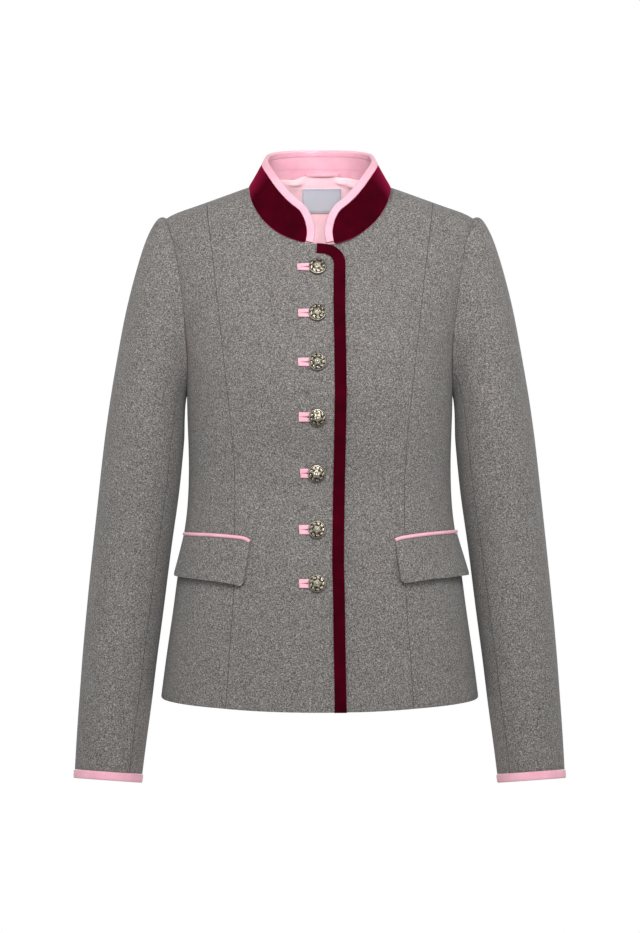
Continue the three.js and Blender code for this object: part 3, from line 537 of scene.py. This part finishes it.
def roll_foot(piece):
    """Rolls the velvet's foot down over the neck seam."""
    points = points_of(piece)
    x, y, z = points.T
    across = np.clip(abs(x) / NECK_HALF, 0, 1)
    seam = np.where(y < 0, -NECK_DEPTH * np.sqrt(1 - across**2), NECK_RISE * (1 - across**2))
    near = fade(z - seam, 7, 0) ** 1.5
    under = fade(x, 6, 12) * fade(x, 52, 34)
    front = fade(y, 0, -30)
    drop = near * (ROLL + ROLL_IN_FRONT * front + ROLL_UNDER * under * front) * MM
    points += from_torso(points) * np.array([1, 1, 0]) * (drop * ROLL_OUT)[:, None]
    points[:, 2] -= drop
    place_points(piece, points)


collar = {}
for node, finish, slot, _, _, _, edge in COLLAR_PIECES:
    piece = cloth_on_solid(node, node + "_cloth", finish, 2)
    if node == "collar_velvet":
        roll_foot(piece)
    if node == "collar_binding":
        # Both halves are cut alike.
        pick(piece)
        bpy.ops.object.mode_set(mode="EDIT")
        bpy.ops.mesh.select_all(action="SELECT")
        bpy.ops.mesh.symmetrize(direction="POSITIVE_X", threshold=0.05 * MM)
        bpy.ops.object.mode_set(mode="OBJECT")
    # Velvet folds get painted sheen.
    turned_edge(piece, edge, fold=velvet_painted_rim_sheen if finish == velvet else None)
    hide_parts(node)
    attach(piece, "root")
    collar[node] = piece

# ------------------------------------------------------------------------------------------
# Velvet band: a bias strip that edges the upper corner and the closing edge of the right
# front. Its edges are drawn in a little where it is stitched down.
# ------------------------------------------------------------------------------------------

band = cloth_on_solid("front_edge_band", "front_edge_band_cloth", velvet, 2)
move_rim(band, from_torso, -DRAWN_IN, whole=True)
sway(band)
# Its folded edges get painted sheen.
turned_edge(band, 0.78, fold=velvet_painted_rim_sheen)
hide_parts("front_edge_band")
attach(band, "root")

# ------------------------------------------------------------------------------------------
# Buttonholes: seven, each bound with two pink welts round a slit that widens towards the
# button. Each welt is a folded lip of cotton, plump between its edges.
# ------------------------------------------------------------------------------------------

# The slit's half height at its closed end and what it gains towards the button (mm).
SLIT, SLIT_OPENING = 0.04, 2.2

# Half a welt's thickness, the crown on its face and the height of its edges (mm).
WELT_HALF, WELT_CROWN, WELT_EDGE = 0.55, 0.35, 0.25


def seat_of(node):
    """The points of a small flat solid on the front, and the ways out of the jacket and up."""
    points = points_of(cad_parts[node])
    _, axes = np.linalg.eigh(np.cov(points.T))
    outward = Vector(axes[:, 0]) if axes[1, 0] < 0 else -Vector(axes[:, 0])
    return points, outward, outward.cross(Vector((1, 0, 0))).normalized()


def make_lip(solid, outward, upward, side):
    """One welt of a buttonhole, above its slit (side 1) or below it (side -1)."""
    across, base = solid @ np.array(upward), (solid @ np.array(outward)).min()
    middle = (across.min() + across.max()) / 2
    ends = solid[:, 0].min(), solid[:, 0].max()
    halves = [abs(across[abs(solid[:, 0] - end) < 0.1 * MM] - middle).max() for end in ends]
    deselect()
    bpy.ops.mesh.primitive_cube_add(size=2)
    lip = bpy.context.object
    bpy.ops.object.mode_set(mode="EDIT")
    bpy.ops.mesh.subdivide(number_cuts=13)
    bpy.ops.object.mode_set(mode="OBJECT")
    along, wide, thick = points_of(lip).T
    reach = (along + 1) / 2
    slit = (SLIT + SLIT_OPENING * np.clip(reach - 0.1, 0, 1) ** 1.2) * MM
    outer = halves[0] + (halves[1] - halves[0]) * reach
    up = slit + (outer - slit) * (wide + 1) / 2
    plump = (1 - abs(wide) ** 6) ** 0.5 * (1 - abs(along) ** 24) ** 0.5
    face = WELT_HALF * (1 + thick) + WELT_CROWN * np.maximum(thick, 0)
    rise = base + (face * plump + WELT_EDGE * (1 - plump)) * MM
    shaped = (ends[0] + (ends[1] - ends[0]) * reach)[:, None] * np.array([1.0, 0, 0])
    shaped += (middle + side * up)[:, None] * np.array(upward) + rise[:, None] * np.array(outward)
    place_points(lip, shaped)
    if side < 0:
        pick(lip)
        bpy.ops.object.mode_set(mode="EDIT")
        bpy.ops.mesh.select_all(action="SELECT")
        bpy.ops.mesh.normals_make_consistent(inside=False)
        bpy.ops.object.mode_set(mode="OBJECT")
    return lip


for number in range(1, 8):
    node = "buttonhole_%d" % number
    upper_lip, lower_lip = (make_lip(*seat_of(node), side) for side in (1, -1))
    pick(upper_lip)
    lower_lip.select_set(True)
    bpy.ops.object.join()
    piece = bpy.context.object
    piece.name = piece.data.name = node + "_welts"
    bpy.ops.object.shade_smooth()
    piece.data.materials.append(cotton)
    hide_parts(node)
    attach(piece, "root")

# ------------------------------------------------------------------------------------------
# Buttons: seven cast domes in antique silver, with a rope rim, a ring of scrolls and a rosette,
# dark in the recesses and bright on the worn high places. Their shanks don't show and aren't
# dressed.
# ------------------------------------------------------------------------------------------

silver, shader = new_material("antique_silver")
wear = add_node(silver, "Attribute", {"attribute_name": "relief"}).outputs["Fac"]
place = add_node(silver, "TexCoord").outputs["Object"]
depth = mix_values(silver, 0.18, wear, add_noise(silver, place, 700.0, 3.0))
TARNISH = [(0.1, "2C2619"), (0.32, "746C5B"), (0.56, "B8B1A3"), (0.82, "F0ECE3")]
set_inputs(silver, shader, {
    "Base Color": add_ramp(silver, depth, TARNISH),
    "Metallic": 1.0,
    "Roughness": 0.3,
})

# How many rope strands, scrolls and petals go round a button. Then where the rim, the ring of
# scrolls and the rosette's cleft lie, as shares of its radius.
ROPE_STRANDS, SCROLLS, PETALS = 34, 9, 5
RIM, RING, CLEFT = 0.94, 0.72, 0.15

# The cap of a sphere that makes the dome: where it is cut, as a share of the sphere's radius,
# and how high the sphere stands there.
DOME_CUT, DOME_FOOT = 0.95, 0.31

# Heights on a button (mm): its rim, the dome, the relief, the bulge of its back, and its top
# over the back. The relief goes up and down from this level of its own height.
BUTTON_RIM, DOME, RELIEF, BACK, BUTTON_TOP = 0.9, 5.0, 0.9, 0.45, 6.3
RELIEF_LEVEL = 0.35

# The back is as dark as relief of this height.
DARK_BACK = 0.2


def bump_at(share, middle, width, power=2):
    """A round ridge at one share of the radius, 1 at its top."""
    return np.exp(-(((share - middle) / width) ** power))


def relief_at(share, turn):
    """Height of the cast relief, 0 to 1, at a share of the radius and a turn round the button."""
    rope = 0.5 + 0.5 * np.cos(turn * ROPE_STRANDS + share * 40)
    rim = bump_at(share, RIM, 0.04) * (0.5 + 0.4 * rope)
    curl = 0.5 + 0.5 * np.cos(turn * SCROLLS + 7 * np.sin((share - 0.7) * 20))
    veins = 0.5 + 0.5 * np.cos(turn * 3 * SCROLLS - share * 38)
    vine = bump_at(share, RING, 0.15, 4) * np.clip(curl * 1.6 - 0.5, 0, 1) * (0.6 + 0.4 * veins)
    petals = 0.5 + 0.5 * np.cos(turn * PETALS)
    leaf = np.clip(1.15 - share / (0.36 + 0.16 * petals), 0, 1) ** 0.4
    ribs = 0.72 + 0.28 * np.cos(turn * 3 * PETALS) * np.clip(share / 0.2, 0, 1)
    cleft, boss = bump_at(share, CLEFT, 0.028), bump_at(share, 0, 0.09)
    return np.clip(rim + vine + 0.95 * leaf * ribs - 0.5 * cleft + 0.3 * boss, 0, 1)


for number in range(1, 8):
    node = "button_%d" % number
    solid, outward, upward = seat_of(node)
    low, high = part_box(node)
    radius = (high[0] - low[0]) / 2 / MM
    deselect()
    bpy.ops.mesh.primitive_uv_sphere_add(segments=112, ring_count=56, radius=1)
    button = bpy.context.object
    button.name = button.data.name = node + "_dome"
    x, y, z = points_of(button).T
    share = np.clip(np.hypot(x, y), 0, 1)
    # Each button is sewn on at its own turn.
    lift = relief_at(share, np.arctan2(y, x) + number * 0.7)
    dome = (np.sqrt(1 - (share * DOME_CUT) ** 2) - DOME_FOOT) / (1 - DOME_FOOT)
    upper = z > -0.02
    height = BUTTON_RIM + DOME * dome + RELIEF * (lift - RELIEF_LEVEL)
    height = np.where(upper, height, BUTTON_RIM + BACK * z)
    relief = button.data.attributes.new("relief", "FLOAT", "POINT")
    relief.data.foreach_set("value", np.where(upper, lift, DARK_BACK))
    place_points(button, np.stack([x * radius, y * radius, height], axis=1) * MM)
    across = solid @ np.array(upward)
    top = (solid @ np.array(outward)).max()
    pick(button)
    button.rotation_mode = "QUATERNION"
    button.rotation_quaternion = Vector((0, 0, 1)).rotation_difference(outward)
    button.location = upward * (across.min() + across.max()) / 2 + outward * (top - BUTTON_TOP * MM)
    button.location.x = (low[0] + high[0]) / 2
    bpy.ops.object.transform_apply(location=True, rotation=True, scale=True)
    bpy.ops.object.shade_smooth()
    button.data.materials.append(silver)
    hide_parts(node)
    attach(button, "root")

# ------------------------------------------------------------------------------------------
# Pocket flaps: wool outside and inside with turned edges, standing a little off the jacket at
# the lower edge. A folded pink piping is caught in the seam above each.
# ------------------------------------------------------------------------------------------

def round_lower_corners(piece, inner, outer):
    """Rounds the two lower corners of a flap, the inner one nearer the closing edge, in the plane
    of its lower edge and sides. These are found as straight lines, away from the corners."""
    points = points_of(piece)
    x, _, z = points.T
    left, right, low, high = x.min(), x.max(), z.min(), z.max()
    rows = np.linspace(left + 20 * MM, right - 20 * MM, 12)
    hem = np.polyfit(rows, [z[abs(x - row) < 3 * MM].min() for row in rows], 1)
    for side in (-1, 1):
        rows = np.linspace(low + 18 * MM, high - 20 * MM, 8)
        edge = np.polyfit(rows, [side * (side * x[abs(z - row) < 3 * MM]).max() for row in rows], 1)
        corner_z = (hem[1] + hem[0] * edge[1]) / (1 - hem[0] * edge[0])
        corner = np.array([edge[0] * corner_z + edge[1], corner_z])
        along = -side * np.array([1, hem[0]]) / math.hypot(1, hem[0])
        upward = np.array([edge[0], 1]) / math.hypot(1, edge[0])
        offsets = np.stack([x, z]) - corner[:, None]
        shares = np.linalg.solve(np.stack([along, upward], axis=1), offsets)
        radius = outer if side * (left + right) > 0 else inner
        a, b = np.clip(1 - shares / radius, 0, 1)
        sideways = radius * a * (1 - np.sqrt(1 - b**2 / 2))
        rise = radius * b * (1 - np.sqrt(1 - a**2 / 2))
        moved = np.outer(along, sideways) + np.outer(upward, rise)
        points[:, 0] += moved[0]
        points[:, 2] += moved[1]
    place_points(piece, points)


for side in ("left", "right"):
    flap = cloth_on_solid("flap_" + side, "flap_%s_cloth" % side, wool, 3)
    round_lower_corners(flap, inner=6 * MM, outer=2.5 * MM)
    turned_edge(flap, 1.0)
    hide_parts("flap_" + side)
    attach(flap, "root")
    node = "flap_piping_" + side
    piping = cloth_on_solid(node, node + "_fold", cotton, 2, sharp=60)
    turned_edge(piping, 0.3, angle=60)
    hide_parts(node)
    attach(piping, "root")

# ------------------------------------------------------------------------------------------
# Back lining: satin with a pleat down the middle and soft puckers by the label, a hanger loop
# of folded cotton and a plain woven label with folded ends.
# ------------------------------------------------------------------------------------------

# Puckers beside the label, and the fold of the middle pleat above it.
LINING_CREASES = [
    ((-38, 53.5, 10.5), (-20, 59, 11.5), 4.4, -4.0),
    ((-36, 55, 2.5), (-25, 59.5, 3.5), 3.0, -1.6),
    ((20, 59, 13), (30, 56.5, 10.5), 3.4, -3.2),
    ((32, 56, 8.5), (44, 51, 6.5), 4.0, -3.6),
    ((2.6, 58, 17), (2.6, 61, 6.5), 1.3, -1.0),
]
lining = cloth_on_solid("lining_back_neck", "lining_back_neck_cloth", satin, 3)
crease(lining, from_torso, LINING_CREASES)
# Its top edge goes on up, and a little forward, under the collar's stitched foot.
points = points_of(lining)
seam = NECK_RISE * (1 - np.clip(points[:, 0] / NECK_HALF, -1, 1) ** 2)
near = fade(seam - points[:, 2], 4, 0)
points[:, 2] += near * 1.7 * MM
points[:, 1] -= near * 0.9 * MM
place_points(lining, points)
turned_edge(lining, 0.3)
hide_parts("lining_back_neck")
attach(lining, "root")

# Woven damask label: smooth, cool grey with a slight lustre.
damask, shader = new_material("woven_damask_label")
place = add_node(damask, "TexCoord").outputs["Object"]
sockets = {"Vector": place, "Scale": 500.0, "Distortion": 1.0}
picks = add_node(damask, "TexWave", {"bands_direction": "Z"}, sockets).outputs["Fac"]
set_inputs(damask, shader, {
    "Base Color": add_ramp(damask, picks, [(0.0, "B0B7C0"), (1.0, "C2C8D0")]),
    "Roughness": 0.5,
    "Sheen Weight": 0.1,
})

label = cloth_on_solid("neck_label", "neck_label_cloth", damask, 3)
turned_edge(label, 0.2)
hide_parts("neck_label")
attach(label, "root")

# The loop is sewn down at both ends. Between them its lower edge stands off, in mm.
LOOP_MIDDLE, LOOP_HALF, LOOP_STANDS_OFF = 3.2, 20, 1.5
loop = cloth_on_solid("hanger_loop", "hanger_loop_fold", cotton, 3)
points = points_of(loop)
free = np.clip(1 - (abs(points[:, 0] / MM - LOOP_MIDDLE) / LOOP_HALF) ** 4, 0, 1)
points[:, 1] -= free * fade(points[:, 2], 22.5, 18.5) * LOOP_STANDS_OFF * MM
place_points(loop, points)
turned_edge(loop, 0.25)
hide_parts("hanger_loop")
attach(loop, "root")

# Sewing thread: rows of short stitches that lie on a piece, seen from the inside of the neck.
# The rose thread is darker than the cotton it lies on: partly its own colour, partly painted shade
# of the groove the stitches sink into.
rose_thread_painted_groove_shade, shader = new_material("polyester_thread_painted_groove_shade")
set_inputs(rose_thread_painted_groove_shade, shader, {"Base Color": colour("C2688A"), "Roughness": 0.5})
grey_thread, shader = new_material("grey_thread")
set_inputs(grey_thread, shader, {"Base Color": colour("6C7480"), "Roughness": 0.5})

STITCH_SIDES = 6


def stitch_row(name, piece, line, finish, length, gap, thick):
    """Stitches along a line (x, z in mm) on the face of a piece that looks to the front. Each is
    a thread that swells between its two ends and lies a quarter into the cloth."""
    surface = BVHTree.FromObject(piece, bpy.context.evaluated_depsgraph_get())
    ends = [Vector((x * MM, 0, z * MM)) for x, z in line]
    seats = []
    for a, b in zip(ends, ends[1:]):
        count = max(1, round((b - a).length / (0.25 * MM)))
        for k in range(count):
            spot = a.lerp(b, k / count)
            hit, normal, _, _ = surface.ray_cast(spot, Vector((0, 1, 0)))
            if hit:
                seats.append((hit, normal))
    corners, faces, rings, run = [], [], [], 0.0
    for (here, normal), (after, _) in zip(seats, seats[1:]):
        ahead = after - here
        share = run / (length * MM)
        if share <= 1.0:
            side = ahead.cross(normal).normalized()
            fat = thick * MM * math.sqrt(max(0.05, math.sin(math.pi * min(max(share, 0.04), 0.96))))
            seat, half = here + normal * fat * 0.25, fat * 0.5
            turns = [2 * math.pi * k / STITCH_SIDES for k in range(STITCH_SIDES)]
            rings.append([seat + half * (side * math.cos(t) + normal * math.sin(t)) for t in turns])
        run += ahead.length
        if share > 1.0 or run > (length + gap) * MM:
            for ring, following in zip(rings, rings[1:]):
                low, high = len(corners), len(corners) + STITCH_SIDES
                corners.extend(ring + following)
                for k in range(STITCH_SIDES):
                    n = (k + 1) % STITCH_SIDES
                    faces.append((low + k, low + n, high + n, high + k))
            rings = []
        if run > (length + gap) * MM:
            run = 0.0
    mesh = bpy.data.meshes.new(name)
    mesh.from_pydata([tuple(c) for c in corners], [], faces)
    mesh.materials.append(finish)
    row = bpy.data.objects.new(name, mesh)
    bpy.context.scene.collection.objects.link(row)
    pick(row)
    bpy.ops.object.shade_smooth()
    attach(row, "root")


# The collar's foot is sewn down in an arc that is highest in the middle (mm).
FOOT_TOP = 25.80125
foot_line = [(x, FOOT_TOP - 0.0975 * (x / 9.5) ** 2) for x in range(-50, 51, 2)]
stitch_row("collar_foot_stitches", collar["collar_inner"], foot_line, rose_thread_painted_groove_shade,
           length=2.6, gap=0.7, thick=0.5)
label_rim = [(-19.2, 2.3), (24.2, 2.3), (24.2, -21.8), (-19.2, -21.8), (-19.2, 2.3)]
stitch_row("label_stitches", label, label_rim, grey_thread,
           length=2.4, gap=0.25, thick=0.55)
for side, x in (("left", 23.0), ("right", -16.6)):
    stitch_row("loop_tack_" + side, loop, [(x, 18.6), (x, 22.4)], rose_thread_painted_groove_shade,
               length=1.6, gap=0.3, thick=0.5)

# ------------------------------------------------------------------------------------------
# Studio: a pale floor, an even pale room, and soft lights from the front and above.
# ------------------------------------------------------------------------------------------

deselect()
bpy.ops.mesh.primitive_circle_add(vertices=96, radius=2.2, fill_type="NGON", location=(0, 0, -1.2))
floor = bpy.context.object
floor.name = "floor"
pale_floor, shader = new_material("pale_floor")
set_inputs(pale_floor, shader, {"Base Color": colour("CDCDCD"), "Roughness": 0.9})
floor.data.materials.append(pale_floor)

room = bpy.data.worlds.new("pale_room")
bpy.context.scene.world = room
room.use_nodes = True
sky = room.node_tree.nodes["Background"]
# White walls, and a ceiling that gives less light.
toward = add_node(room, "TexCoord").outputs["Generated"]
height = add_node(room, "SeparateXYZ", sockets={"Vector": toward}).outputs["Z"]
walls = add_ramp(room, height, [(0.2, "FFFFFF"), (0.75, "A4A4A4")])
set_inputs(room, sky, {"Color": walls, "Strength": 1.0})


def soft_light(name, spot, aim, size, power, spread):
    """A soft box at a place, turned to what it lights, with the spread of its grid (degrees)."""
    deselect()
    bpy.ops.object.light_add(type="AREA", location=spot)
    lamp = bpy.context.object
    lamp.name = name
    lamp.data.shape = "RECTANGLE"
    lamp.data.size, lamp.data.size_y = size
    lamp.data.energy = power
    lamp.data.spread = math.radians(spread)
    lamp.rotation_euler = (Vector(aim) - Vector(spot)).to_track_quat("-Z", "Y").to_euler()


soft_light("key_softbox", (0.12, -2.0, 0.8), (0, 0, -0.14), (1.4, 0.9), 8.5, 70)
soft_light("neck_light", (0, -1.05, 0.8), (0, 0.06, 0.008), (0.04, 0.04), 0.0105, 5.5)

deselect()
bpy.ops.object.camera_add(location=(0.0003, -3.5, -0.3214), rotation=(math.pi / 2, 0, 0))
camera = bpy.context.object
camera.name = "camera"
camera.data.sensor_fit = "HORIZONTAL"
camera.data.sensor_width = 36.0
camera.data.lens = 171.2
bpy.context.scene.camera = camera
bpy.context.scene.view_settings.view_transform = "Standard"
